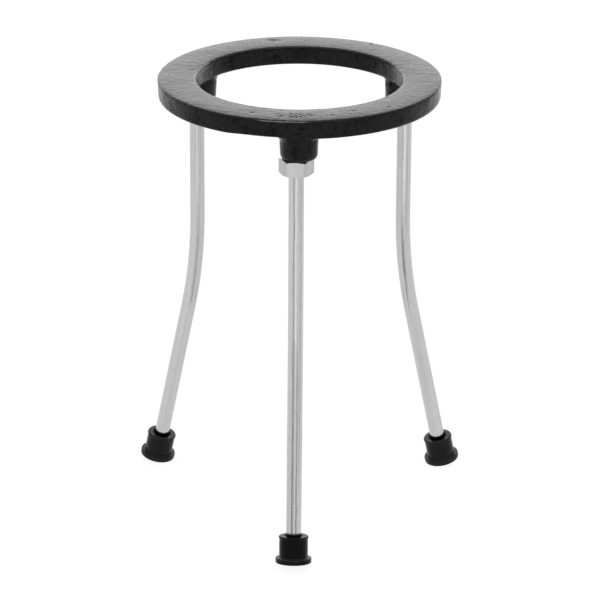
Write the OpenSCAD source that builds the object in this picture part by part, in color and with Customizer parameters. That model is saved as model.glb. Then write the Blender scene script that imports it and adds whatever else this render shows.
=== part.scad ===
// Laboratory tripod stand: a cast-iron ring carried on three bent steel rods.
// Millimetres. The origin is on the ring's axis at bench level, +Z up, and the front leg is on -Y.

/* [Stand] */
// Height of the stand, from the bench to the top of the ring
stand_h = 224.5; // [200:0.5:250]

/* [Ring] */
// Outside diameter of the ring
ring_od = 140; // [125:1:160]
// Radial width of the ring, across its upper face
ring_w = 19.5; // [17.5:0.5:22]
// Thickness of the ring
ring_t = 9.9; // [8:0.1:11]
// Rounding of the ring's four cast edges
ring_edge_r = 1.3; // [0.5:0.1:2]
// Draft of the outer walls of the casting, in degrees, drawn in towards the bench
draft = 2; // [0.5:0.5:3]

/* [Bosses under the ring] */
// Depth of a boss below the ring
boss_h = 12; // [11:0.5:16]
// Step in from the ring's two walls to the inner and outer face of a boss
boss_step = 0.1; // [0.06:0.02:0.3]
// Rounding of a boss's lower rim
boss_rim_r = 2.4; // [0.8:0.1:2.8]
// Radius of the fillet that spreads from a boss along the ring's underside
fillet_r = 3; // [2:0.5:5]
// Distance of the fillet's sides in from the ring's edge rounding
fillet_inset = 0.3; // [0.1:0.1:1]
// Iron above the tip of a boss's blind hole
hole_roof = 3.5; // [2.5:0.5:5]
// Width of the countersink at the mouth of a boss's hole
hole_sink = 0.5; // [0.2:0.1:1]

/* [Legs] */
// Diameter of the plated rod
rod_d = 7.5; // [6.5:0.1:8]
// Height of the rolled thread's crests above the rod
thread_rise = 0.4; // [0.2:0.05:0.6]
// Length of plain rod inside the nut, below the thread
thread_stop = 1.2; // [0.6:0.1:2.5]
// Height above the bench of the corner about which a leg bends outward
bend_z = 116; // [95:1:135]
// Angle of the bend, in degrees
bend_angle = 12.9; // [8:0.1:18]
// Radius of the bend at the rod's centre
bend_r = 235; // [100:5:300]
// Necking of the rod round the bend, on the radius
bend_neck = 0.02; // [0.01:0.01:0.05]
// Chamfer on both ends of a rod
rod_chamfer = 0.6; // [0.3:0.1:1]

/* [Lock nuts] */
// Width of a nut across its flats
nut_af = 15; // [14:0.5:18]
// Height of a nut
nut_h = 7.8; // [6:0.1:9]
// Slope of the chamfer on a nut's corners, in degrees
nut_slope = 30; // [20:5:40]
// Distance of a nut's round end faces in from its flats
nut_face_in = 0.15; // [0.1:0.05:0.6]
// Width of the countersinks in a nut
nut_sink = 0.5; // [0.2:0.1:0.8]

/* [Feet] */
// Diameter of a rubber foot at its waist
foot_d = 14.2; // [13:0.2:15]
// Length of a foot
foot_l = 13.5; // [11:0.5:18]
// Rubber below the end of the rod
foot_floor = 3.5; // [2.5:0.5:5]
// Height of the rounded lip above the waist
lip_rise = 0.3; // [0.1:0.05:0.6]
// Rounding of the lip
lip_r = 0.7; // [0.4:0.1:1.4]
// Diameter of the flange that stands on the bench
flange_d = 17.8; // [17:0.2:20]
// Thickness of the flange
flange_t = 2.7; // [2.2:0.1:4]
// Rounding of the flange's two edges
flange_rim_r = 0.6; // [0.4:0.1:1]
// Fillet between the flange and the waist
foot_fillet_r = 0.5; // [0.3:0.1:0.8]
// Flare of the foot's mouth round the rod
mouth_flare = 0.6; // [0.4:0.1:1]
// Depth of the flared mouth
mouth_h = 1.6; // [0.8:0.1:2.5]

/* [Fits] */
// Clearance all round a thread in its boss and its nut
thread_fit = 0.1; // [0.05:0.05:0.2]
// Clearance all round the rod in a foot
foot_fit = 0.05; // [0.02:0.01:0.1]
// Space between the thread's end and the drill point of its hole
hole_end_gap = 1; // [0.5:0.5:2]

/* [Hidden] */

// The three sides of the stand and their directions from its axis
SIDES = [["front", -90], ["right", 30], ["left", 150]];

IRON_PAINT = [0.13, 0.13, 0.13];
PLATED_STEEL = [0.72, 0.72, 0.71];
PLATED_NUT = [0.77, 0.77, 0.76];
RUBBER = [0.08, 0.08, 0.08];

// Angle between a drill's axis and its cutting lip
DRILL_HALF_ANGLE = 59;
// Depth by which a form is carried into the form it joins, or past the face it cuts
LAP = 1;
ROUND_FN = 96;
$fn = ROUND_FN;
// Faces in a full turn of the bend, which is only a short stretch of its circle
BEND_FN = 720;
HEXAGON_FN = 6;
// Angle from the middle of one of a hexagon's flats to its corner
HEXAGON_HALF = 180/HEXAGON_FN;
// Share of a fillet's radius by which its arc bites into the two walls that it joins
FILLET_BITE = 0.02;

// Ring
ring_r = ring_od/2;
opening_r = ring_r - ring_w;
// The legs stand in a circle midway across the ring
leg_circle_r = (ring_r + opening_r)/2;
ring_bottom = stand_h - ring_t;
// Distance by which the draft brings the outer wall in, between its two edge roundings
wall_in = (ring_t - 2*ring_edge_r)*tan(draft);

// Bosses: their own frame has its origin on the ring's underside
boss_r = ring_w/2 - boss_step;
boss_bottom = ring_bottom - boss_h;
rim_x = boss_wall(boss_rim_r - boss_h) - boss_rim_r/cos(draft);
// The fillet's arc crosses its two walls at a slight angle, so that no faces only touch
fillet_bite = FILLET_BITE*fillet_r;
fillet_x = boss_r + fillet_r/cos(draft) - fillet_r*tan(draft) - fillet_bite;
fillet_z = fillet_bite - fillet_r;

// Thread and its blind hole
rod_r = rod_d/2;
thread_r = rod_r + thread_rise;
hole_r = thread_r + thread_fit;
drill_point_h = hole_r/tan(DRILL_HALF_ANGLE);
hole_top = stand_h - hole_roof - drill_point_h;
nut_bottom = boss_bottom - nut_h;
thread_top = hole_top - hole_end_gap;
thread_bottom = nut_bottom + thread_stop;

// Bend: length of rod from the corner to each end of the arc
bend_tangent = bend_r*tan(bend_angle/2);

// Foot: its own frame has its origin in the middle of its lower face, with +Z up the rod
flange_r = flange_d/2;
waist_r = foot_d/2;
lip_x = waist_r + lip_rise - lip_r;
socket_r = rod_r + foot_fit;
mouth_r = socket_r + mouth_flare;
// Height of that origin at which the tilted flange just rests on the bench
foot_z = flange_rim_r*(1 - cos(bend_angle)) + (flange_r - flange_rim_r)*sin(bend_angle);
// Length from that origin up to the corner of the bend
slope_l = (bend_z - foot_z)/cos(bend_angle);

// Nut
nut_corner_r = nut_af/2/cos(HEXAGON_HALF);
nut_face_r = nut_af/2 - nut_face_in;
nut_chamfer_h = (nut_corner_r - nut_face_r)*tan(nut_slope);

// Radius of a boss's drafted wall at height z, which is below zero
function boss_wall(z) = boss_r + z*tan(draft);

// Puts a shape on the leg circle, with +X away from the stand's axis
module at_side(azimuth) {
    rotate([0, 0, azimuth]) translate([leg_circle_r, 0, 0]) children();
}

// Puts a shape at the foot of a leg, with +Z up the lower half of the rod
module at_slope(azimuth) {
    at_side(azimuth) translate([0, 0, bend_z]) rotate([0, -bend_angle, 0])
        translate([0, 0, -slope_l]) children();
}

// Half section of the ring: a straight inner wall, a drafted outer wall and four round edges
module ring_section() {
    inner_x = opening_r + ring_edge_r;
    outer_x = ring_r - ring_edge_r;
    upper_z = ring_t - ring_edge_r;
    polygon([
        [inner_x, 0], [outer_x - wall_in, 0],
        [outer_x - wall_in + ring_edge_r*cos(draft), ring_edge_r*(1 - sin(draft))],
        [outer_x + ring_edge_r*cos(draft), upper_z - ring_edge_r*sin(draft)],
        [outer_x, ring_t], [inner_x, ring_t],
        [opening_r, upper_z], [opening_r, ring_edge_r]
    ]);
    for (corner = [
        [inner_x, ring_edge_r], [inner_x, upper_z], [outer_x, upper_z], [outer_x - wall_in, ring_edge_r]
    ]) translate(corner) circle(ring_edge_r);
}

// Half section of a boss, carried up into the ring
module boss_section() {
    polygon([
        [0, LAP], [boss_r, LAP], [boss_r, 0],
        [rim_x + boss_rim_r*cos(draft), boss_rim_r*(1 - sin(draft)) - boss_h],
        [rim_x, -boss_h], [0, -boss_h]
    ]);
    translate([rim_x, boss_rim_r - boss_h]) circle(boss_rim_r);
}

// Half section of the fillet round a boss's root
module fillet_section() {
    difference() {
        polygon([
            [0, LAP], [fillet_x, LAP], [fillet_x, fillet_z],
            [boss_wall(fillet_z) - LAP, fillet_z], [0, fillet_z]
        ]);
        translate([fillet_x, fillet_z]) circle(fillet_r);
    }
}

// The band of the ring's flat underside, over which the fillets spread
module fillet_band() {
    inset = ring_edge_r + fillet_inset;
    difference() {
        cylinder(r = ring_r - wall_in - inset, h = 2*fillet_r + LAP, center = true);
        cylinder(r = opening_r + inset, h = 2*fillet_r + 2*LAP, center = true);
    }
}

// Bosses and their fillets. The bosses, as wide as the ring, are trimmed to the foot of its outer wall
module bosses() {
    intersection() {
        for (side = SIDES) at_side(side[1]) rotate_extrude() boss_section();
        cylinder(r = ring_r - wall_in - boss_step, h = 2*(boss_h + LAP), center = true);
    }
    intersection() {
        for (side = SIDES) at_side(side[1]) rotate_extrude() fillet_section();
        fillet_band();
    }
}

// Blind hole for a leg's thread, with the drill's point at its end and a countersunk mouth
module thread_hole() {
    rotate_extrude() polygon([
        [0, boss_bottom - LAP], [hole_r + hole_sink + LAP, boss_bottom - LAP],
        [hole_r, boss_bottom + hole_sink], [hole_r, hole_top], [0, hole_top + drill_point_h]
    ]);
}

// One casting: the ring, its three bosses and the fillets between them
module ring() {
    color(IRON_PAINT) difference() {
        union() {
            translate([0, 0, ring_bottom]) rotate_extrude() ring_section();
            translate([0, 0, ring_bottom]) bosses();
        }
        for (side = SIDES) at_side(side[1]) thread_hole();
    }
}

// Upper half of a leg: plain rod, and the envelope of its rolled thread
module threaded_half() {
    rotate_extrude() polygon([
        [0, bend_z + bend_tangent - LAP], [rod_r, bend_z + bend_tangent - LAP],
        [rod_r, thread_bottom], [thread_r, thread_bottom + thread_rise],
        [thread_r, thread_top - rod_chamfer], [thread_r - rod_chamfer, thread_top], [0, thread_top]
    ]);
}

// The arc between the two straight halves of a leg
module bend() {
    translate([bend_r, 0, bend_z + bend_tangent]) rotate([90, 0, 0]) rotate([0, 0, 180])
        rotate_extrude(angle = bend_angle, $fn = BEND_FN)
            translate([bend_r, 0]) circle(rod_r - bend_neck, $fn = ROUND_FN);
}

// Lower half of a leg, which ends on the floor of its foot
module sloping_half() {
    rotate_extrude() polygon([
        [0, foot_floor], [rod_r - rod_chamfer, foot_floor], [rod_r, foot_floor + rod_chamfer],
        [rod_r, slope_l - bend_tangent + LAP], [0, slope_l - bend_tangent + LAP]
    ]);
}

// One leg: a single bent rod
module leg(azimuth) {
    color(PLATED_STEEL) union() {
        at_side(azimuth) threaded_half();
        at_side(azimuth) bend();
        at_slope(azimuth) sloping_half();
    }
}

// Hexagon nut run up against a boss, with one flat facing outward
module lock_nut(azimuth) {
    color(PLATED_NUT) at_side(azimuth) translate([0, 0, nut_bottom]) difference() {
        intersection() {
            rotate([0, 0, HEXAGON_HALF]) cylinder(r = nut_corner_r, h = nut_h, $fn = HEXAGON_FN);
            rotate_extrude() polygon([
                [0, 0], [nut_face_r, 0],
                [nut_corner_r + LAP, nut_chamfer_h + LAP*tan(nut_slope)],
                [nut_corner_r + LAP, nut_h - nut_chamfer_h - LAP*tan(nut_slope)],
                [nut_face_r, nut_h], [0, nut_h]
            ]);
        }
        rotate_extrude() polygon([
            [0, -LAP], [hole_r + nut_sink + LAP, -LAP], [hole_r, nut_sink],
            [hole_r, nut_h - nut_sink], [hole_r + nut_sink + LAP, nut_h + LAP], [0, nut_h + LAP]
        ]);
    }
}

// Half section of a foot: flange, fillet, waist and rounded lip
module foot_section() {
    square([flange_r - flange_rim_r, flange_t]);
    translate([0, flange_rim_r]) square([flange_r, flange_t - 2*flange_rim_r]);
    for (z = [flange_rim_r, flange_t - flange_rim_r])
        translate([flange_r - flange_rim_r, z]) circle(flange_rim_r);
    square([waist_r, foot_l - lip_r]);
    square([lip_x, foot_l]);
    translate([lip_x, foot_l - lip_r]) circle(lip_r);
    difference() {
        translate([waist_r - LAP, flange_t - LAP]) square(foot_fillet_r + LAP);
        translate([waist_r + foot_fillet_r, flange_t + foot_fillet_r]) circle(foot_fillet_r);
    }
}

// Rubber foot pushed over the end of a rod, square to it, so that it stands on its inner edge
module foot(azimuth) {
    color(RUBBER) at_slope(azimuth) difference() {
        rotate_extrude() foot_section();
        rotate_extrude() polygon([
            [0, foot_floor], [socket_r, foot_floor], [socket_r, foot_l - mouth_h],
            [mouth_r, foot_l], [mouth_r, foot_l + LAP], [0, foot_l + LAP]
        ]);
    }
}

ring();
for (side = SIDES) {
    leg(side[1]);
    lock_nut(side[1]);
    foot(side[1]);
}
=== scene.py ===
"""Looks of the lab tripod stand: enamelled casting, plated rods and nuts, moulded rubber feet.

Metres, in the CAD model's frame: the origin is on the ring's axis at bench level, +Z up, the front leg on -Y.
"""
from math import asin, cos, exp, hypot, pi, radians, sin, tan

import bmesh
import bpy
from mathutils import Matrix, Vector, noise


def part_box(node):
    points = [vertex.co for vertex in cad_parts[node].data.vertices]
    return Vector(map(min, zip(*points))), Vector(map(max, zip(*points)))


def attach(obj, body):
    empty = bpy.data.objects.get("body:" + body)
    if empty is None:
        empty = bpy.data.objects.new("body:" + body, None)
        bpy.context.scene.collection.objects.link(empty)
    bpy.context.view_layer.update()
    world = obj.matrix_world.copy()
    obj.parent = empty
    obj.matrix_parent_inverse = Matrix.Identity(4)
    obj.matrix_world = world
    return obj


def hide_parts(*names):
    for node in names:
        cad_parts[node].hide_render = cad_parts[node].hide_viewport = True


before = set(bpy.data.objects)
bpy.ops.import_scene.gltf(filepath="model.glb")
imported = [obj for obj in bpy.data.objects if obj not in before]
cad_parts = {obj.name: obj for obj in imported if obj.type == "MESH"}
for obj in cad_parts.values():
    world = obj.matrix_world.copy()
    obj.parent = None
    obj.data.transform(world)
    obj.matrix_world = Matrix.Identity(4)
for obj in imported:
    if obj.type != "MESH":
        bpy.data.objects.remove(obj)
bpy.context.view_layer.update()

MM = 0.001
UP = Vector((0, 0, 1))


# ---------------------------------------------------------------- sizes

# A size that the boxes of the CAD nodes don't give is that of the same name in the part's source, unless its
# comment says otherwise.

# Directions of the three sides of the stand from its axis
SIDES = {"front": radians(-90), "right": radians(30), "left": radians(150)}
# Direction from the stand in which its front is seen
FRONT = radians(-90)

# Ring, with the heights of its top and underside. Its middle is the circle midway across its width
RING_R, _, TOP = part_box("ring")[1]
RING_W = 19.5 * MM
RING_HALF_W = RING_W / 2
RING_MIDDLE = RING_R - RING_HALF_W
RING_T = 9.9 * MM
UNDERSIDE = TOP - RING_T

# Lock nuts
nut_low, nut_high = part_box("lock_nut_front")
NUT_BOTTOM = nut_low.z
NUT_HALF_H = (nut_high.z - nut_low.z) / 2
NUT_FLAT_R = (nut_high.y - nut_low.y) / 2
NUT_FACE_IN = 0.15 * MM
NUT_SLOPE = radians(30)
NUT_SINK = 0.5 * MM
HEXAGON = 6
# Angle from one flat of a nut to the next, in degrees
HEXAGON_TURN = 360 / HEXAGON

# Legs, with their threads. The thread's pitch and its gap to the nut's thread are the scene's own
leg_low, leg_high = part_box("leg_front")
LEG_TOP = leg_high.z
LEG_CIRCLE_R = -(nut_low.y + nut_high.y) / 2
THREAD_R = leg_high.x
THREAD_RISE = 0.4 * MM
THREAD_STOP = 1.2 * MM
THREAD_PITCH = 1.25 * MM
THREAD_FIT = 0.08 * MM
ROD_R = THREAD_R - THREAD_RISE
ROD_CHAMFER = 0.6 * MM
BEND_Z = 116 * MM
BEND_ANGLE = radians(12.9)
BEND_R = 235 * MM
BEND_TANGENT = BEND_R * tan(BEND_ANGLE / 2)
# Lengths below a rod's top at which its thread ends and its bend starts and ends, and its own length. The
# leg's box is lowest at the rod's lower edge, which the slope puts below the middle of its end. The chamfer
# isn't counted, so the rod ends 0.14 mm above the floor of its foot.
THREAD_END = LEG_TOP - NUT_BOTTOM - THREAD_STOP
BEND_START = LEG_TOP - BEND_Z - BEND_TANGENT
BEND_END = BEND_START + BEND_R * BEND_ANGLE
ROD_END = BEND_END + (BEND_Z - leg_low.z - ROD_R * sin(BEND_ANGLE)) / cos(BEND_ANGLE) - BEND_TANGENT

# Feet. The mouth is wider than in the part's source
FOOT_L = 13.5 * MM
FOOT_FLOOR = 3.5 * MM
FLANGE_T = 2.7 * MM
MOUTH_H = 1.6 * MM
MOUTH_R = 4.75 * MM


# ---------------------------------------------------------------- node trees

WHITE = (1, 1, 1, 1)
# Inputs of a mix node that take its factor and its two colours, and the output that gives the mixed colour
COLOUR_MIX_INPUTS = (0, 6, 7)
COLOUR_MIX_OUTPUT = 2
# Name of the mesh attribute that keeps each point's place in its piece's own straight frame
OWN_PLACE = "own_place"


class Nodes:
    """Builds the node tree of a material or world. A value is a number, a colour or another node's output."""

    def __init__(self, owner):
        owner.use_nodes = True
        self.tree = owner.node_tree
        self.tree.nodes.clear()

    def add(self, kind, inputs=None, **settings):
        node = self.tree.nodes.new(kind)
        for key, value in settings.items():
            setattr(node, key, value)
        for key, value in (inputs or {}).items():
            if isinstance(value, bpy.types.NodeSocket):
                self.tree.links.new(value, node.inputs[key])
            else:
                node.inputs[key].default_value = value
        return node

    def math(self, operation, *values):
        return self.add("ShaderNodeMath", dict(enumerate(values)), operation=operation).outputs[0]

    def object_place(self):
        return self.add("ShaderNodeTexCoord").outputs["Object"]

    def own_place(self):
        """A piece's place in its own straight frame, kept in its mesh."""
        return self.add("ShaderNodeAttribute", attribute_name=OWN_PLACE).outputs["Vector"]

    def scaled(self, vector, scale):
        return self.add("ShaderNodeVectorMath", {0: vector, 1: scale}, operation="MULTIPLY").outputs[0]

    def noise(self, vector, scale, detail=2.0, roughness=0.5):
        inputs = {"Vector": vector, "Scale": scale, "Detail": detail, "Roughness": roughness}
        return self.add("ShaderNodeTexNoise", inputs).outputs["Fac"]

    def ranged(self, value, low, high, to_low=0.0, to_high=1.0):
        """value from low to high, eased into to_low to to_high."""
        inputs = {"Value": value, "From Min": low, "From Max": high, "To Min": to_low, "To Max": to_high}
        return self.add("ShaderNodeMapRange", inputs, interpolation_type="SMOOTHSTEP").outputs["Result"]

    def mix(self, factor, first, second):
        """From one colour to another. A plain number is a grey of that linear brightness."""
        node = self.add("ShaderNodeMix", data_type="RGBA")
        for number, value in zip(COLOUR_MIX_INPUTS, (factor, first, second)):
            socket = node.inputs[number]
            if isinstance(value, bpy.types.NodeSocket):
                self.tree.links.new(value, socket)
            elif socket.type == "RGBA":
                socket.default_value = (value, value, value, 1)
            else:
                socket.default_value = value
        return node.outputs[COLOUR_MIX_OUTPUT]

    def from_axis(self, axes):
        """Distance from the vertical axis of a place, given as its three axes."""
        squares = self.math("ADD", self.math("POWER", axes[0], 2.0), self.math("POWER", axes[1], 2.0))
        return self.math("SQRT", squares)

    def axes(self, vector):
        return self.add("ShaderNodeSeparateXYZ", {0: vector}).outputs

    def bump(self, height, distance):
        return self.add("ShaderNodeBump", {"Height": height, "Distance": distance}).outputs["Normal"]

    def background_ray(self):
        """1 for camera, glossy and transmission rays, which see the white background, and 0 for the rest."""
        path = self.add("ShaderNodeLightPath").outputs
        seen = self.math("MAXIMUM", path["Is Camera Ray"], path["Is Glossy Ray"])
        return self.math("MAXIMUM", seen, path["Is Transmission Ray"])

    def surface(self, shader):
        self.add("ShaderNodeOutputMaterial", {"Surface": shader.outputs[0]})

    def principled(self, inputs):
        self.surface(self.add("ShaderNodeBsdfPrincipled", inputs))


# ---------------------------------------------------------------- camera, floor and light

# The photograph's camera. The lens and the sensor's width are in millimetres
CAMERA_DISTANCE = 1.727
CAMERA_ELEVATION = radians(21.185)
CAMERA_AZIMUTH = radians(1.222)
CAMERA_ROLL = radians(0.284)
CAMERA_TARGET = Vector((0.759 * MM, 0, 106.55 * MM))
CAMERA_LENS = 205.8
CAMERA_SENSOR = 36
CAMERA_NEAR = 0.05
CAMERA_FAR = 50

# Light of the surroundings on the stand, beside the white that the camera sees
WORLD_LIGHT = 0.62
# Parts of the floor's white that glow by themselves and that the lamps light
FLOOR_GLOW = 0.91
FLOOR_WHITE = 0.14
# Half the floor's side, and how far it lies below the feet
FLOOR_HALF = 6.0
FLOOR_DROP = 0.05 * MM
# Lamps: place, width and height, and how bright the face is beside plain white. They face LAMP_TARGET
LAMP_TARGET = Vector((0, 0, 0.15))
LAMPS = {
    "softbox_back": ((0, 2.2, 1.15), (3.2, 1.5), 1.38),
    "softbox_top": ((0.2, -0.5, 2.4), (1.6, 1.6), 1.2),
}


def make_camera():
    """The photograph's own view: looking down on the stand, almost square to the front leg."""
    data = bpy.data.cameras.new("camera")
    data.lens = CAMERA_LENS
    data.sensor_width = CAMERA_SENSOR
    data.clip_start = CAMERA_NEAR
    data.clip_end = CAMERA_FAR
    camera = bpy.data.objects.new("camera", data)
    bpy.context.scene.collection.objects.link(camera)
    away = Vector((
        sin(CAMERA_AZIMUTH) * cos(CAMERA_ELEVATION),
        -cos(CAMERA_AZIMUTH) * cos(CAMERA_ELEVATION),
        sin(CAMERA_ELEVATION),
    ))
    turn = away.to_track_quat("Z", "Y").to_matrix() @ Matrix.Rotation(CAMERA_ROLL, 3, "Z")
    camera.matrix_world = Matrix.Translation(CAMERA_TARGET + away * CAMERA_DISTANCE) @ turn.to_4x4()
    bpy.context.scene.camera = camera


def make_world():
    """White for the rays that see the background, and less bright for those that light the stand."""
    world = bpy.data.worlds.new("studio")
    bpy.context.scene.world = world
    nodes = Nodes(world)
    strength = nodes.ranged(nodes.background_ray(), 0, 1, WORLD_LIGHT, 1)
    background = nodes.add("ShaderNodeBackground", {"Color": WHITE, "Strength": strength})
    nodes.add("ShaderNodeOutputWorld", {"Surface": background.outputs[0]})


def make_floor():
    """A pale floor that renders white and keeps a soft shadow."""
    mesh = bpy.data.meshes.new("floor")
    signs = ((-1, -1), (1, -1), (1, 1), (-1, 1))
    corners = [(x * FLOOR_HALF, y * FLOOR_HALF, -FLOOR_DROP) for x, y in signs]
    mesh.from_pydata(corners, [], [(0, 1, 2, 3)])
    floor = bpy.data.objects.new("floor", mesh)
    bpy.context.scene.collection.objects.link(floor)
    material = bpy.data.materials.new("floor")
    nodes = Nodes(material)
    lit = nodes.add("ShaderNodeBsdfDiffuse", {"Color": (FLOOR_WHITE, FLOOR_WHITE, FLOOR_WHITE, 1)})
    strength = nodes.math("MULTIPLY", nodes.background_ray(), FLOOR_GLOW)
    glow = nodes.add("ShaderNodeEmission", {"Color": WHITE, "Strength": strength})
    nodes.surface(nodes.add("ShaderNodeAddShader", {0: lit.outputs[0], 1: glow.outputs[0]}))
    mesh.materials.append(material)


def make_softbox(name, place, size, brightness):
    """A lamp that no camera ray sees."""
    data = bpy.data.lights.new(name, "AREA")
    data.shape = "RECTANGLE"
    data.size, data.size_y = size
    data.energy = brightness * pi * size[0] * size[1]
    lamp = bpy.data.objects.new(name, data)
    lamp.visible_camera = False
    toward = LAMP_TARGET - Vector(place)
    lamp.matrix_world = Matrix.Translation(place) @ toward.to_track_quat("-Z", "Y").to_matrix().to_4x4()
    bpy.context.scene.collection.objects.link(lamp)


# ---------------------------------------------------------------- enamel

# In all the materials a tone is a linear brightness, and the scale of a noise is its number of features in a
# metre. The bounds given for a noise are levels of it, and it mostly lies between 0.3 and 0.7.

# Painted highlight on the ring's front edge, a grey line in the enamel's colour: its ends and the length of
# their fade, its upper and lower limit and the height of their fade, how far behind the ring's front it
# reaches, and its tone
EDGE_HIGHLIGHT_FROM = -20 * MM
EDGE_HIGHLIGHT_TO = 7 * MM
EDGE_HIGHLIGHT_FADE = 5 * MM
EDGE_HIGHLIGHT_HIGH = TOP - 0.85 * MM
EDGE_HIGHLIGHT_LOW = TOP - 1.20 * MM
EDGE_HIGHLIGHT_SOFT = 0.12 * MM
EDGE_HIGHLIGHT_BEHIND = 4 * MM
PAINTED_EDGE_HIGHLIGHT_TONE = 0.22
# The same for the painted highlight just below the opening's edge at its left and right ends
BRIM_FROM = 44.5 * MM
BRIM_FADE = 3.5 * MM
BRIM_HIGH = TOP - 0.7 * MM
BRIM_HIGH_SOFT = 0.36 * MM
BRIM_LOW = TOP - 3.6 * MM
BRIM_LOW_SOFT = 0.9 * MM
PAINTED_BRIM_HIGHLIGHT_TONE = 0.16
# Scales of the enamel's noises: patches of more and less orange peel, the peel itself, the grain, the mottle
# of its tone and the stains
PATCH_SCALE = 80
PEEL_SCALE = 330
GRAIN_SCALE = 850
MOTTLE_SCALE = 460
STAIN_SCALE = 210
# Tones of the mottled enamel and of a pinhole in it
ENAMEL_DARK = 0.0015
ENAMEL_PALE = 0.013
PINHOLE_TONE = 0.001
# Pinholes, in the middle of some cells of a pattern: its scale, the bounds of the chance above which a cell
# has one, and the bounds of the distance at which it ends
PINHOLE_SCALE = 130
PINHOLE_CHANCE = (0.84, 0.86)
PINHOLE_SIZE = (0.04, 0.13)
# Gloss: refractive index, lowest and highest roughness, the shine of clean and of stained enamel, and the
# share of it that is left on the flat faces
ENAMEL_IOR = 1.25
ENAMEL_ROUGH = (0.13, 0.22)
CLEAN_SHINE = 0.52
STAINED_SHINE = 0.26
FLAT_SHINE = 0.92
# Relief of the orange peel, and the shares of it that the grain and the pinholes have
PEEL_DEPTH = 0.34 * MM
GRAIN_SHARE = 0.30
PINHOLE_DEPTH_SHARE = 0.3


def painted_edge_highlight(nodes, axes):
    """1 where a painted highlight greys the enamel along the upper front edge, from the place's three axes.
    """
    comes = nodes.ranged(axes[0], EDGE_HIGHLIGHT_FROM, EDGE_HIGHLIGHT_FROM + EDGE_HIGHLIGHT_FADE)
    goes = nodes.ranged(axes[0], EDGE_HIGHLIGHT_TO - EDGE_HIGHLIGHT_FADE, EDGE_HIGHLIGHT_TO, 1, 0)
    along = nodes.math("MULTIPLY", comes, goes)
    above = nodes.ranged(axes[2], EDGE_HIGHLIGHT_LOW - EDGE_HIGHLIGHT_SOFT, EDGE_HIGHLIGHT_LOW)
    below = nodes.ranged(axes[2], EDGE_HIGHLIGHT_HIGH, EDGE_HIGHLIGHT_HIGH + EDGE_HIGHLIGHT_SOFT, 1, 0)
    band = nodes.math("MULTIPLY", above, below)
    outside = nodes.math("LESS_THAN", axes[1], EDGE_HIGHLIGHT_BEHIND - RING_R)
    return nodes.math("MULTIPLY", nodes.math("MULTIPLY", along, band), outside)


def painted_brim_highlight(nodes, axes):
    """1 where a painted highlight greys the enamel just below the opening's upper edge, at its left and right
    ends.
    """
    along = nodes.ranged(nodes.math("ABSOLUTE", axes[0]), BRIM_FROM, BRIM_FROM + BRIM_FADE)
    above = nodes.ranged(axes[2], BRIM_LOW, BRIM_LOW + BRIM_LOW_SOFT)
    below = nodes.ranged(axes[2], BRIM_HIGH, BRIM_HIGH + BRIM_HIGH_SOFT, 1, 0)
    band = nodes.math("MULTIPLY", above, below)
    inside = nodes.math("LESS_THAN", nodes.from_axis(axes), RING_MIDDLE)
    return nodes.math("MULTIPLY", nodes.math("MULTIPLY", along, band), inside)


def pinholes(nodes, place):
    """1 in each pinhole and 0 elsewhere."""
    cells = nodes.add("ShaderNodeTexVoronoi", {"Vector": place, "Scale": PINHOLE_SCALE})
    chance = nodes.add("ShaderNodeSeparateColor", {0: cells.outputs["Color"]}).outputs[0]
    chosen = nodes.ranged(chance, *PINHOLE_CHANCE)
    return nodes.math("MULTIPLY", chosen, nodes.ranged(cells.outputs["Distance"], *PINHOLE_SIZE, 1, 0))


def enamel_colour(nodes, place, mottle, pinhole):
    """Tone of the enamel: mottled black, with pinholes and the painted highlights on two edges."""
    colour = nodes.mix(nodes.ranged(mottle, 0.38, 0.68), ENAMEL_DARK, ENAMEL_PALE)
    colour = nodes.mix(pinhole, colour, PINHOLE_TONE)
    axes = nodes.axes(place)
    # Painted highlights on the front edge and at the opening's ends, made patchy by the mottle
    highlight_patches = nodes.ranged(mottle, 0.35, 0.5, 0.5, 1)
    colour = nodes.mix(nodes.math("MULTIPLY", painted_edge_highlight(nodes, axes), highlight_patches), colour, PAINTED_EDGE_HIGHLIGHT_TONE)
    # Painted highlight just below the opening's edge at its left and right ends
    return nodes.mix(nodes.math("MULTIPLY", painted_brim_highlight(nodes, axes), highlight_patches), colour, PAINTED_BRIM_HIGHLIGHT_TONE)


def enamel_shine(nodes, place):
    """Strength of the enamel's gloss, which is less in stains on its walls and all over its flat faces."""
    normal = nodes.add("ShaderNodeNewGeometry").outputs["Normal"]
    facing_up = nodes.math("ABSOLUTE", nodes.axes(normal)[2])
    stain = nodes.ranged(nodes.noise(place, STAIN_SCALE, detail=4, roughness=0.65), 0.50, 0.66)
    stain = nodes.math("MULTIPLY", stain, nodes.ranged(facing_up, 0.2, 0.6, 1, 0))
    shine = nodes.ranged(stain, 0, 1, CLEAN_SHINE, STAINED_SHINE)
    return nodes.math("MULTIPLY", shine, nodes.ranged(facing_up, 0.6, 0.9, 1, FLAT_SHINE))


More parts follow.
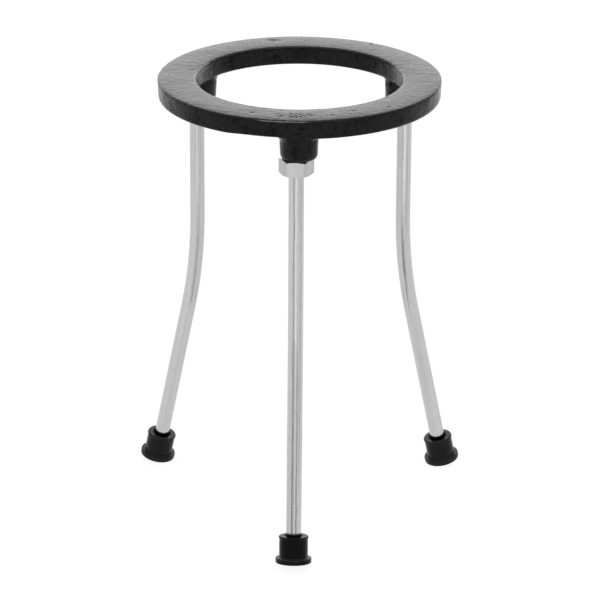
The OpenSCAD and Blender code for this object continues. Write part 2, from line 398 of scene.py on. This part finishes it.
def enamel_material():
    """Black stoving enamel on sand-cast iron: orange peel, grain, pinholes, stains and painted highlights on
    two edges.
    """
    material = bpy.data.materials.new("black_enamel")
    nodes = Nodes(material)
    place = nodes.object_place()
    patch = nodes.ranged(nodes.noise(place, PATCH_SCALE, detail=2), 0.35, 0.65, 0.5, 1)
    peel = nodes.math("MULTIPLY", nodes.noise(place, PEEL_SCALE, detail=3, roughness=0.6), patch)
    grain = nodes.noise(place, GRAIN_SCALE, detail=2)
    mottle = nodes.noise(place, MOTTLE_SCALE, detail=3, roughness=0.6)
    pinhole = pinholes(nodes, place)
    colour = enamel_colour(nodes, place, mottle, pinhole)
    shine = enamel_shine(nodes, place)
    height = nodes.math("MULTIPLY_ADD", grain, GRAIN_SHARE, peel)
    height = nodes.math("SUBTRACT", height, nodes.math("MULTIPLY", pinhole, PINHOLE_DEPTH_SHARE))
    nodes.principled({
        "Base Color": colour, "Roughness": nodes.ranged(grain, 0.3, 0.7, *ENAMEL_ROUGH), "IOR": ENAMEL_IOR,
        "Specular IOR Level": shine, "Normal": nodes.bump(height, PEEL_DEPTH),
    })
    return material


# ---------------------------------------------------------------- plating

# Painted reflection of the foot's black rubber, a dark ring on the rod just above the foot: its height, the
# height up to which it is darkest, and its tone
FOOT_REFLECTION_H = 2.0 * MM
FOOT_REFLECTION_DARKEST = 0.4 * FOOT_REFLECTION_H
FOOT_REFLECTION_TONE = 0.02
# Tones of a rod's plating and of its painted dark and bright reflections
PLATING_TONES = (0.46, 0.57)
DARK_REFLECTION_TONE = 0.10
BRIGHT_REFLECTION_TONE = 0.85
# Scales across and along a rod of its fine lines, broad lines and mottle, and their shares in its tone
FINE_LINES = (3000, 3000, 12)
BROAD_LINES = (460, 460, 8)
ROD_MOTTLE = (800, 800, 240)
FINE_SHARE = 0.40
BROAD_SHARE = 0.35
MOTTLE_SHARE = 0.25
ROD_ROUGH = (0.10, 0.20)
ROD_LINE_DEPTH = 0.008 * MM
# How far a streak wanders to each side, in radians, the scale of the first streak's wander and the step from
# one streak's scale to the next, how much finer a streak's patches are than its wander, and the share of a
# streak's half width that has its full depth
STREAK_WANDER = 0.05
WANDER_SCALE = 30
WANDER_SCALE_STEP = 9
PATCH_FINENESS = 2.3
STREAK_CORE = 0.15
# Painted reflections that lie along each rod as dark and bright streaks: direction as seen from the front and
# half width, in degrees, depth (a painted highlight where it is below zero), and the places below the rod's
# top, in millimetres, where it comes and goes
REFLECTION_STREAKS = {
    "front": [
        (-16, 8, 0.58, (0, 10, 240, 250)),
        (-8, 8, 0.42, (103, 113, 240, 250)),
        (-17, 8, 0.42, (130, 205, 240, 250)),
        (1, 7, -0.55, (0, 10, 100, 125)),
        (3, 7, -0.25, (100, 125, 240, 250)),
        (17, 9, 0.50, (95, 130, 240, 250)),
        (16, 9, 0.40, (150, 205, 240, 250)),
        (41, 8, 0.30, (0, 10, 150, 200)),
    ],
    "right": [
        (-15, 7, 0.12, (0, 5, 60, 90)),
        (5, 11, -0.70, (0, 5, 50, 80)),
        (31, 7, 0.34, (0, 5, 70, 95)),
        (-5, 15, 0.66, (68, 92, 104, 122)),
        (-12, 8, 0.25, (90, 100, 115, 135)),
        (-3, 14, 0.10, (105, 120, 150, 190)),
    ],
    "left": [
        (1, 7, -0.40, (0, 5, 55, 85)),
        (31, 7, 0.28, (0, 5, 60, 80)),
        (8, 19, 0.32, (55, 98, 110, 130)),
        (12, 8, 0.10, (60, 98, 110, 126)),
        (6, 14, 0.07, (110, 125, 200, 230)),
    ],
}


def with_reflection_streaks(nodes, colour, place, axes, side):
    """colour with the side's own painted reflections: streaks along the rod that wander a little and are
    patchy.
    """
    angle = nodes.math("ARCTAN2", axes[1], axes[0])
    for number, (seen, width, depth, stretch) in enumerate(REFLECTION_STREAKS[side]):
        start, full, fading, end = (length * MM for length in stretch)
        along = nodes.scaled(place, (0, 0, WANDER_SCALE + WANDER_SCALE_STEP * number))
        wander = nodes.noise(along, 1.0, detail=2)
        wander = nodes.ranged(wander, 0.3, 0.7, -STREAK_WANDER, STREAK_WANDER)
        middle = FRONT - SIDES[side] + radians(seen)
        turned = nodes.math("SUBTRACT", nodes.math("ADD", angle, wander), middle)
        off = nodes.math("ABSOLUTE", nodes.math("WRAP", turned, pi, -pi))
        across = nodes.ranged(off, STREAK_CORE * radians(width), radians(width), abs(depth), 0)
        comes = nodes.ranged(axes[2], start, full)
        goes = nodes.ranged(axes[2], fading, end, 1, 0)
        patchy = nodes.ranged(nodes.noise(along, PATCH_FINENESS, detail=3), 0.3, 0.6, 0.7, 1)
        across = nodes.math("MULTIPLY", across, patchy)
        share = nodes.math("MULTIPLY", across, nodes.math("MULTIPLY", comes, goes))
        # Each streak is a painted dark reflection, or a painted highlight where its depth is below zero
        colour = nodes.mix(share, colour, DARK_REFLECTION_TONE if depth > 0 else BRIGHT_REFLECTION_TONE)
    return colour


def rod_material(side):
    """Bright plating over drawn steel, with the side's own painted reflections as streaks along the rod."""
    material = bpy.data.materials.new("plated_rod_" + side)
    nodes = Nodes(material)
    place = nodes.own_place()
    fine = nodes.noise(nodes.scaled(place, FINE_LINES), 1.0, detail=3, roughness=0.6)
    broad = nodes.noise(nodes.scaled(place, BROAD_LINES), 1.0)
    mottle = nodes.noise(nodes.scaled(place, ROD_MOTTLE), 1.0, detail=3)
    tone = nodes.math("MULTIPLY_ADD", fine, FINE_SHARE, nodes.math("MULTIPLY", broad, BROAD_SHARE))
    tone = nodes.math("MULTIPLY_ADD", mottle, MOTTLE_SHARE, tone)
    colour = nodes.mix(nodes.ranged(tone, 0.36, 0.64), *PLATING_TONES)
    axes = nodes.axes(place)
    colour = with_reflection_streaks(nodes, colour, place, axes, side)
    foot_top = ROD_END - FOOT_L + FOOT_FLOOR
    # Painted reflection of the foot's black rubber on the rod's lowest part
    foot_reflection = nodes.ranged(axes[2], foot_top - FOOT_REFLECTION_H, foot_top - FOOT_REFLECTION_DARKEST)
    colour = nodes.mix(foot_reflection, colour, FOOT_REFLECTION_TONE)
    nodes.principled({
        "Base Color": colour, "Metallic": 1.0, "Roughness": nodes.ranged(fine, 0.3, 0.7, *ROD_ROUGH),
        "Normal": nodes.bump(fine, ROD_LINE_DEPTH),
    })
    return material


# Tones of a nut's flats, painted lighter or darker from one flat to the next as the light falls on each, of
# its cloudy parts and of its drawn lines, and the most that the last two cover
PAINTED_FLAT_TONES = (0.45, 0.58)
CLOUD_TONE = 0.60
NUT_LINE_TONE = 0.30
CLOUD_COVER = 0.4
NUT_LINE_COVER = 0.34
# Scales of a nut's clouds, of its drawn lines across and along it, and of the rings that turning left
CLOUD_SCALE = 700
NUT_LINES = (750, 750, 30)
TOOLING_SCALE = 5200
NUT_ROUGH = (0.26, 0.40)
TOOLING_DEPTH = 0.010 * MM
# The painted light and shade of the flats follows a sine from flat to flat: the angle from one flat to the
# next, and the first one's angle
FLAT_STEP = radians(120)
FLAT_START = radians(105)


def painted_flat_light(nodes, axes):
    """0 to 1, the same all over each flat of a nut and different from one flat to the next: painted light and
    shade.
    """
    turn = nodes.math("ARCTAN2", axes[1], axes[0])
    flat = nodes.math("ROUND", nodes.math("DIVIDE", turn, radians(HEXAGON_TURN)))
    finish = nodes.math("SINE", nodes.math("MULTIPLY_ADD", flat, FLAT_STEP, FLAT_START))
    return nodes.math("MULTIPLY_ADD", finish, 0.5, 0.5)


def nut_material():
    """Bright plated steel with turned end faces and milled flats, each flat painted lighter or darker."""
    material = bpy.data.materials.new("plated_nut")
    nodes = Nodes(material)
    place = nodes.own_place()
    cloud = nodes.noise(place, CLOUD_SCALE, detail=4, roughness=0.6)
    axes = nodes.axes(place)
    turned = nodes.add("ShaderNodeCombineXYZ", {0: nodes.from_axis(axes), 2: axes[2]}).outputs[0]
    tooling = nodes.noise(turned, TOOLING_SCALE, detail=2)
    # Painted light and shade: each flat gets its own tone
    colour = nodes.mix(painted_flat_light(nodes, axes), *PAINTED_FLAT_TONES)
    colour = nodes.mix(nodes.ranged(cloud, 0.32, 0.68, 0, CLOUD_COVER), colour, CLOUD_TONE)
    drawn = nodes.noise(nodes.scaled(place, NUT_LINES), 1.0, detail=2)
    colour = nodes.mix(nodes.ranged(drawn, 0.40, 0.62, NUT_LINE_COVER, 0), colour, NUT_LINE_TONE)
    nodes.principled({
        "Base Color": colour, "Metallic": 1.0, "Roughness": nodes.ranged(cloud, 0.3, 0.7, *NUT_ROUGH),
        "Normal": nodes.bump(tooling, TOOLING_DEPTH),
    })
    return material


# ---------------------------------------------------------------- rubber

# Tones of each foot's rubber where it has the least and the most bloom
BLOOM = {"front": (0.0005, 0.0025), "right": (0.018, 0.028), "left": (0.018, 0.026)}
# Tones of the dust on each foot's flange and of the painted light on the flange's upper edge, a painted
# highlight on the front foot and painted shade on the others, and of the painted light in the mouth
FOOT_DUST_AND_EDGE_LIGHT = {"front": (0.004, 0.026), "right": (0.036, 0.026), "left": (0.030, 0.022)}
MOUTH_PAINTED_LIGHT = 0.08
# Heights on a foot between which the flange's dust ends and the painted light of its upper edge begins, and
# the width over which the painted light in the mouth fades
FLANGE_DUST_END = (FLANGE_T - 0.1 * MM, FLANGE_T + 0.3 * MM)
PAINTED_EDGE_LIGHT_START = (FLANGE_T - 0.9 * MM, FLANGE_T - 0.4 * MM)
MOUTH_PAINTED_LIGHT_FADE = 0.3 * MM
# Scales of the rubber's grain and bloom
RUBBER_GRAIN_SCALE = 2600
BLOOM_SCALE = 380
RUBBER_IOR = 1.19
RUBBER_ROUGH = (0.07, 0.12)
RUBBER_GRAIN_DEPTH = 0.012 * MM


def dusted_and_edge_lit(nodes, colour, axes, bloom, side):
    """colour with patchy dust on the flange, painted light and shade on the flange's upper edge, and painted
    light in the mouth.
    """
    patchy = nodes.ranged(bloom, 0.3, 0.6, 0.5, 1)
    flange_dust, painted_edge_light = FOOT_DUST_AND_EDGE_LIGHT[side]
    flange = nodes.ranged(axes[2], *FLANGE_DUST_END, 1, 0)
    colour = nodes.mix(nodes.math("MULTIPLY", flange, patchy), colour, flange_dust)
    # Painted highlight on the front foot's upper flange edge and painted shade on the other feet's
    edge = nodes.ranged(axes[2], *PAINTED_EDGE_LIGHT_START)
    edge = nodes.math("MULTIPLY", edge, flange)
    colour = nodes.mix(nodes.math("MULTIPLY", edge, patchy), colour, painted_edge_light)
    # Painted light in the mouth, lifting the shade of the gap round the rod
    mouth = nodes.ranged(nodes.from_axis(axes), MOUTH_R - MOUTH_PAINTED_LIGHT_FADE, MOUTH_R, 1, 0)
    return nodes.mix(mouth, colour, MOUTH_PAINTED_LIGHT)


def rubber_material(side):
    """Moulded black rubber with a fine grain, the foot's own trace of pale bloom, a dusty flange and painted
    light on the flange's edge and in the mouth.
    """
    material = bpy.data.materials.new("foot_rubber_" + side)
    nodes = Nodes(material)
    place = nodes.own_place()
    grain = nodes.noise(place, RUBBER_GRAIN_SCALE, detail=3)
    bloom = nodes.noise(place, BLOOM_SCALE, detail=3, roughness=0.6)
    colour = nodes.mix(nodes.ranged(bloom, 0.42, 0.78), *BLOOM[side])
    colour = dusted_and_edge_lit(nodes, colour, nodes.axes(place), bloom, side)
    nodes.principled({
        "Base Color": colour, "Roughness": nodes.ranged(grain, 0.3, 0.7, *RUBBER_ROUGH), "IOR": RUBBER_IOR,
        "Normal": nodes.bump(grain, RUBBER_GRAIN_DEPTH),
    })
    return material


# ---------------------------------------------------------------- helpers for the pieces

# Edges that turn by more than this are sharp
SHARP_ANGLE = radians(35)


def new_piece(name, mesh, node, material):
    """A piece of the scene that stands for a CAD node, which it hides, and takes the given material."""
    mesh.materials.clear()
    mesh.materials.append(material)
    mesh.shade_smooth()
    mesh.set_sharp_from_angle(angle=SHARP_ANGLE)
    piece = bpy.data.objects.new(name, mesh)
    bpy.context.scene.collection.objects.link(piece)
    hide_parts(node)
    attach(piece, "root")


def skin(name, rows, places, wrap):
    """A closed mesh through rows of points round an axis.

    places are the same rows in the piece's own frame. wrap joins the last row to the first, and otherwise
    both ends are capped.
    """
    around = len(rows[0])
    faces = []
    for i in range(len(rows) if wrap else len(rows) - 1):
        here, there = i * around, (i + 1) % len(rows) * around
        for k in range(around):
            after = (k + 1) % around
            faces.append((here + k, here + after, there + after, there + k))
    if not wrap:
        faces.append(tuple(range(around)))
        faces.append(tuple(range(len(rows) * around - around, len(rows) * around)))
    built = bmesh.new()
    verts = [built.verts.new(point) for row in rows for point in row]
    for face in faces:
        built.faces.new([verts[k] for k in face])
    bmesh.ops.recalc_face_normals(built, faces=built.faces)
    mesh = bpy.data.meshes.new(name)
    built.to_mesh(mesh)
    built.free()
    own = mesh.attributes.new(OWN_PLACE, "FLOAT_VECTOR", "POINT")
    own.data.foreach_set("vector", [value for row in places for place in row for value in place])
    return mesh


def spaced(start, end, step):
    """Numbers from start to end in equal steps of about step, with both ends."""
    count = max(1, round(abs(end - start) / step))
    return [start + (end - start) * k / count for k in range(count + 1)]


def directions(side):
    """Outward from the stand's axis at one side, and across, anticlockwise round it."""
    azimuth = SIDES[side]
    return Vector((cos(azimuth), sin(azimuth), 0)), Vector((-sin(azimuth), cos(azimuth), 0))


def eased(value, low, high):
    """0 below low, 1 above high and a smooth ramp between them. low may be the higher."""
    t = min(1, max(0, (value - low) / (high - low)))
    return t * t * (3 - 2 * t)


# ---------------------------------------------------------------- the casting

# Size of the skin's faces, and how many times they are smoothed, which softens the edges
SKIN_VOXEL = 0.6 * MM
SKIN_SMOOTHING = 2
# Fall of the crowned upper face at the edges of its width: that of an even curve and that of a sharper roll.
# Both stop at a share of half the width, where the round edges begin
CROWN = 0.32 * MM
CROWN_ROLL = 0.24 * MM
CROWN_EDGE = 0.87
# The crown, the pits and the gate patch are in the casting's upper part, this deep
MARKS_DEPTH = 1.5 * MM
# Slow unevenness of a sand casting: wavelength and depth of each kind, and the step between their starts in
# the one pattern
SWELLS = [(24 * MM, 0.10 * MM), (7 * MM, 0.05 * MM), (3.2 * MM, 0.02 * MM)]
SWELL_STEP = Vector((3.7, 1.9, 5.3))
# The same for the upright walls alone
WALL_SWELL = 5.5 * MM
WALL_SWELL_DEPTH = 0.22 * MM
WALL_SWELL_START = Vector((2.3, 8.1, 4.4))
# A boss and its fillet lie within this distance of its hole's axis
BOSS_REACH = 3 * RING_HALF_W
# Offset of each boss to the right of its own bored hole. It grows from none to all between the next two
# distances from the hole's axis, and over the last one below the ring
BOSS_SHIFTS = {"front": 1.2 * MM, "right": -0.8 * MM, "left": 0.7 * MM}
BOSS_SHIFT_FROM = 5.5 * MM
BOSS_SHIFT_FULL = 8.0 * MM
BOSS_SHIFT_DROP = 3.0 * MM
# Thinner stretch of the ring left of the front boss: how far its underside is raised, its two ends and the
# lengths of their fades, and the heights above and below the underside over which the raising fades
THIN = 0.65 * MM
THIN_FROM = -22 * MM
THIN_FROM_FADE = 14 * MM
THIN_TO = -9.5 * MM
THIN_TO_FADE = RING_HALF_W / 2
THIN_ABOVE = 4 * THIN
THIN_BELOW = 5 * THIN
# Pits in the ring's upper face, in millimetres: place, half width, steep far side, gentle near side and depth
PITS = [
    ((-14.5, 61), 3.2, 0.5, 3.6, 0.34),
    ((-15, 57.5), 2.6, 1.4, 1.6, 0.16),
    ((35, 57), 0.9, 0.5, 1.0, 0.34),
    ((-21, -58), 1.2, 0.5, 1.2, 0.22),
    ((27, -53.5), 1.5, 0.5, 1.6, 0.22),
    ((44, -46.5), 1.0, 0.5, 1.2, 0.24),
    ((49, -45.5), 0.9, 0.5, 1.0, 0.18),
    ((-53, 9), 1.2, 0.7, 2.2, 0.12),
    ((-46, 36), 1.3, 0.6, 1.8, 0.12),
    ((17, -61), 1.0, 0.5, 1.4, 0.16),
]
# Rough patch at the front, where the casting's gate was broken off: middle, half size and depth, and the size
# of its grain and where that starts in its pattern
GATE_PLACE = Vector((-1, -61.5)) * MM
GATE_HALF = Vector((10.5, 4.2)) * MM
GATE_DEPTH = 0.26 * MM
GATE_GRAIN = 1.5 * MM
GATE_START = Vector((7.1, 2.2, 0))
# The skin's faces are smaller within this distance of a pit and this depth of the top, where each edge is cut
# so many times. So are the faces round three places across the gate patch, given as shares of its half size
FINE_REACH = 3.4 * MM
FINE_DEPTH = 2.4 * MM
FINE_CUTS = 2
GATE_SPOTS = (-0.6, 0, 0.6)


def pit_depth(point):
    """Depth of the pits at a point of the upper face."""
    depth = 0
    for (x, y), half_width, far, near, pit in PITS:
        across = (point.x / MM - x) / half_width
        along = (point.y / MM - y) / (far if point.y > y * MM else near)
        depth += pit * MM * exp(-across ** 2 - along ** 2)
    return depth


def gate_depth(point):
    """Depth of the gate's rough patch at a point of the upper face."""
    reach = hypot((point.x - GATE_PLACE.x) / GATE_HALF.x, (point.y - GATE_PLACE.y) / GATE_HALF.y)
    rough = 0.5 + 0.5 * noise.noise(point / GATE_GRAIN + GATE_START)
    return GATE_DEPTH * eased(reach, 1.1, 0.7) * eased(rough, 0.4, 0.7)


def boss_shift(point):
    """Sideways offset of a boss's outside at a point."""
    for side, azimuth in SIDES.items():
        reach = hypot(point.x - RING_MIDDLE * cos(azimuth), point.y - RING_MIDDLE * sin(azimuth))
        if point.z < UNDERSIDE and reach < BOSS_REACH:
            lowered = eased(point.z, UNDERSIDE, UNDERSIDE - BOSS_SHIFT_DROP)
            return BOSS_SHIFTS[side] * lowered * eased(reach, BOSS_SHIFT_FROM, BOSS_SHIFT_FULL)
    return 0


def under_lift(point):
    """How much higher the ring's underside is at a point, where the casting is thinner."""
    if point.y >= 0:
        return 0
    comes = eased(point.x, THIN_FROM - THIN_FROM_FADE, THIN_FROM)
    goes = eased(point.x, THIN_TO + THIN_TO_FADE, THIN_TO)
    above = eased(point.z, UNDERSIDE + THIN_ABOVE, UNDERSIDE)
    below = eased(point.z, UNDERSIDE - THIN_BELOW, UNDERSIDE - THIN)
    return THIN * comes * goes * above * below


def casting_skin(point, normal):
    """Place of the casting's skin for a point of the CAD surface, moved in by the unevenness and marks."""
    depth = 0
    for number, (wave, height) in enumerate(SWELLS):
        depth += height * (0.5 + 0.5 * noise.noise(point / wave + SWELL_STEP * number))
    wall = noise.noise(point / WALL_SWELL + WALL_SWELL_START)
    depth += WALL_SWELL_DEPTH * (0.5 + 0.5 * wall) * eased(abs(normal.z), 0.8, 0.3)
    if point.z < TOP - MARKS_DEPTH:
        return point - normal * depth + Vector((boss_shift(point), 0, under_lift(point)))
    flatness = eased(normal.z, 0.2, 0.8)
    across = min(abs(hypot(point.x, point.y) - RING_MIDDLE) / RING_HALF_W, CROWN_EDGE)
    crown = CROWN * across ** 2 + CROWN_ROLL * across ** 4
    depth += (crown + pit_depth(point) + gate_depth(point)) * flatness
    place = point - normal * depth
    place.z = min(place.z, TOP)
    return place


def refine_marks(mesh):
    """Smaller faces round the pits and the gate patch."""
    spots = [(Vector(place) * MM, FINE_REACH) for place, *_ in PITS]
    for share in GATE_SPOTS:
        spots.append((GATE_PLACE + Vector((share * GATE_HALF.x, 0)), GATE_HALF.y + FINE_REACH))
    fine = bmesh.new()
    fine.from_mesh(mesh)
    edges = [
        edge for edge in fine.edges
        if all(v.co.z > TOP - FINE_DEPTH for v in edge.verts)
        and any((edge.verts[0].co.xy - spot).length < reach for spot, reach in spots)
    ]
    bmesh.ops.subdivide_edges(fine, edges=edges, cuts=FINE_CUTS, use_grid_fill=True)
    fine.to_mesh(mesh)
    fine.free()


def make_casting():
    """Ring and bosses in one piece: the CAD form with the soft edges and uneven skin of a sand casting."""
    source = bpy.data.objects.new("casting_source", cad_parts["ring"].data.copy())
    bpy.context.scene.collection.objects.link(source)
    remesh = source.modifiers.new("skin", "REMESH")
    remesh.mode = "VOXEL"
    remesh.voxel_size = SKIN_VOXEL
    smooth = source.modifiers.new("smooth", "SMOOTH")
    smooth.iterations = SKIN_SMOOTHING
    bpy.context.view_layer.update()
    mesh = bpy.data.meshes.new_from_object(source.evaluated_get(bpy.context.evaluated_depsgraph_get()))
    bpy.data.objects.remove(source)
    refine_marks(mesh)
    moved = [casting_skin(vertex.co, vertex.normal) for vertex in mesh.vertices]
    for vertex, place in zip(mesh.vertices, moved):
        vertex.co = place
    new_piece("ring_casting", mesh, "ring", enamel_material())


# ---------------------------------------------------------------- legs and lock nuts

# Points round a rod, and the length of rod between two rows of them: in the thread, in the bend and elsewhere
ROD_AROUND = 64
THREAD_ROWS = THREAD_PITCH / 8
BEND_ROWS = 2 * MM
PLAIN_ROWS = 6 * MM
# Shape of the thread: a smooth wave near 0 and a zigzag at 1
THREAD_SHARPNESS = 0.96


def thread_wave(angle, z):
    """From -1 in the root to 1 on the crest of a right-hand thread round a leg's own axis."""
    wave = cos(2 * pi * z / THREAD_PITCH - angle)
    return asin(THREAD_SHARPNESS * wave) / asin(THREAD_SHARPNESS)


def rod_point(outward, s):
    """Centre of a leg, and the direction that faces outward there, at the length s below its top."""
    centre = outward * LEG_CIRCLE_R + UP * (LEG_TOP - min(s, BEND_START))
    angle = min(max(0, s - BEND_START) / BEND_R, BEND_ANGLE)
    normal = outward * cos(angle) + UP * sin(angle)
    centre += (outward - normal) * BEND_R
    rest = max(0, s - BEND_END)
    return centre + (outward * sin(angle) - UP * cos(angle)) * rest, normal


def rod_radius(angle, s):
    """A rod's radius at the length s below its top: thread, plain rod and the chamfers on both ends."""
    run_out = eased(s, THREAD_END, THREAD_END - THREAD_PITCH)
    radius = ROD_R + THREAD_RISE * run_out * thread_wave(angle, LEG_TOP - s)
    return min(radius, THREAD_R - ROD_CHAMFER + s, ROD_R - ROD_CHAMFER + ROD_END - s)


def make_leg(side):
    """One bent rod, with the rolled thread on its upper end that the nut and boss hide."""
    outward, across = directions(side)
    lengths = spaced(0, ROD_CHAMFER, THREAD_ROWS) + spaced(ROD_CHAMFER, THREAD_END, THREAD_ROWS)[1:]
    lengths += spaced(THREAD_END, BEND_START, PLAIN_ROWS)[1:] + spaced(BEND_START, BEND_END, BEND_ROWS)[1:]
    lengths += spaced(BEND_END, ROD_END - ROD_CHAMFER, PLAIN_ROWS)[1:] + [ROD_END]
    rows, places = [], []
    for s in lengths:
        centre, normal = rod_point(outward, s)
        row, place = [], []
        for k in range(ROD_AROUND):
            angle = 2 * pi * k / ROD_AROUND
            radius = rod_radius(angle, s)
            row.append(centre + (normal * cos(angle) + across * sin(angle)) * radius)
            place.append((radius * cos(angle), radius * sin(angle), s))
        rows.append(row)
        places.append(place)
    node = "leg_" + side
    mesh = skin(node + "_rod", rows, places, wrap=False)
    new_piece(node + "_rod", mesh, node, rod_material(side))


# Sharpness of a nut's six corners, and rounding of its outline where its faces meet
NUT_SOFTNESS = 55
NUT_SOFT = 0.12 * MM
# Angles of a nut's columns of points from each corner, in degrees, closer together round the corner
NUT_COLUMNS = [0, 0.7, 1.4, 2.2, 3.2, 4.6, 7, 11, 16, 22, 30, 38, 44, 49, 53, 55.4, 56.8, 57.8, 58.6, 59.3]


def nut_side(angle):
    """Distance from a nut's axis to its side, with slightly rounded corners. A flat faces the angle 0."""
    reach = sum(max(0, cos(angle - radians(HEXAGON_TURN * k))) ** NUT_SOFTNESS for k in range(HEXAGON))
    return NUT_FLAT_R * reach ** (-1 / NUT_SOFTNESS)


def nut_outline(angle, bore):
    """Outer half section of a nut at one angle, from the top of its bore to the bottom: (radius, height)."""
    side = nut_side(angle)
    face = NUT_FLAT_R - NUT_FACE_IN
    shoulder = NUT_HALF_H - max(0, side - face) * tan(NUT_SLOPE)
    upper = [
        (bore + NUT_SINK, NUT_HALF_H),
        (face - 4 * NUT_SOFT, NUT_HALF_H),
        (face - NUT_SOFT, NUT_HALF_H),
        (min(face + NUT_SOFT, side - NUT_SOFT), NUT_HALF_H - 0.5 * NUT_SOFT),
        (side - NUT_SOFT, shoulder + 0.3 * NUT_SOFT),
        (side, shoulder - NUT_SOFT),
        (side, shoulder - 4 * NUT_SOFT),
    ]
    return upper + [(side, 0)] + [(radius, -height) for radius, height in reversed(upper)]


def make_nut(side, material):
    """Hexagon nut with rounded corners, chamfered ends and its own thread."""
    outward, across = directions(side)
    centre = outward * LEG_CIRCLE_R + UP * (NUT_BOTTOM + NUT_HALF_H)
    corners = [HEXAGON_TURN * (k + 0.5) for k in range(HEXAGON)]
    angles = [radians(corner + step) for corner in corners for step in NUT_COLUMNS]
    bore = ROD_R + THREAD_FIT
    sink_h = NUT_HALF_H - NUT_SINK
    columns = []
    for angle in angles:
        inner = [
            (bore + THREAD_RISE * thread_wave(angle, centre.z + height), height)
            for height in spaced(-sink_h, sink_h, THREAD_ROWS)
        ]
        columns.append(nut_outline(angle, ROD_R + THREAD_RISE) + inner)
    rows, places = [], []
    for level in range(len(columns[0])):
        row, place = [], []
        for angle, column in zip(angles, columns):
            radius, height = column[level]
            row.append(centre + (outward * cos(angle) + across * sin(angle)) * radius + UP * height)
            place.append((radius * cos(angle), radius * sin(angle), height))
        rows.append(row)
        places.append(place)
    node = "lock_nut_" + side
    mesh = skin(node + "_hexagon", rows, places, wrap=True)
    new_piece(node + "_hexagon", mesh, node, material)


# ---------------------------------------------------------------- feet

def make_foot(side, material):
    """The CAD foot's own mesh with a wider mouth. Each point keeps its place, measured up from the sole."""
    outward, across = directions(side)
    axis = UP * cos(BEND_ANGLE) - outward * sin(BEND_ANGLE)
    normal = outward * cos(BEND_ANGLE) + UP * sin(BEND_ANGLE)
    end, _ = rod_point(outward, ROD_END)
    sole = end - axis * FOOT_FLOOR
    node = "foot_" + side
    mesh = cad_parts[node].data.copy()
    own = mesh.attributes.new(OWN_PLACE, "FLOAT_VECTOR", "POINT")
    for vertex, kept in zip(mesh.vertices, own.data):
        off = vertex.co - sole
        x, y, height = off.dot(normal), off.dot(across), off.dot(axis)
        if height > FOOT_L - MOUTH_H and hypot(x, y) < MOUTH_R:
            wider = eased(height, FOOT_L - MOUTH_H, FOOT_L) * (MOUTH_R / hypot(x, y) - 1)
            vertex.co += (normal * x + across * y) * wider
            x, y = x * (1 + wider), y * (1 + wider)
        kept.vector = (x, y, height)
    new_piece(node + "_rubber", mesh, node, material)


bpy.context.scene.view_settings.view_transform = "Standard"
make_camera()
make_world()
make_floor()
for lamp, settings in LAMPS.items():
    make_softbox(lamp, *settings)

make_casting()
plated_nut = nut_material()
for side in SIDES:
    make_leg(side)
    make_nut(side, plated_nut)
    make_foot(side, rubber_material(side))
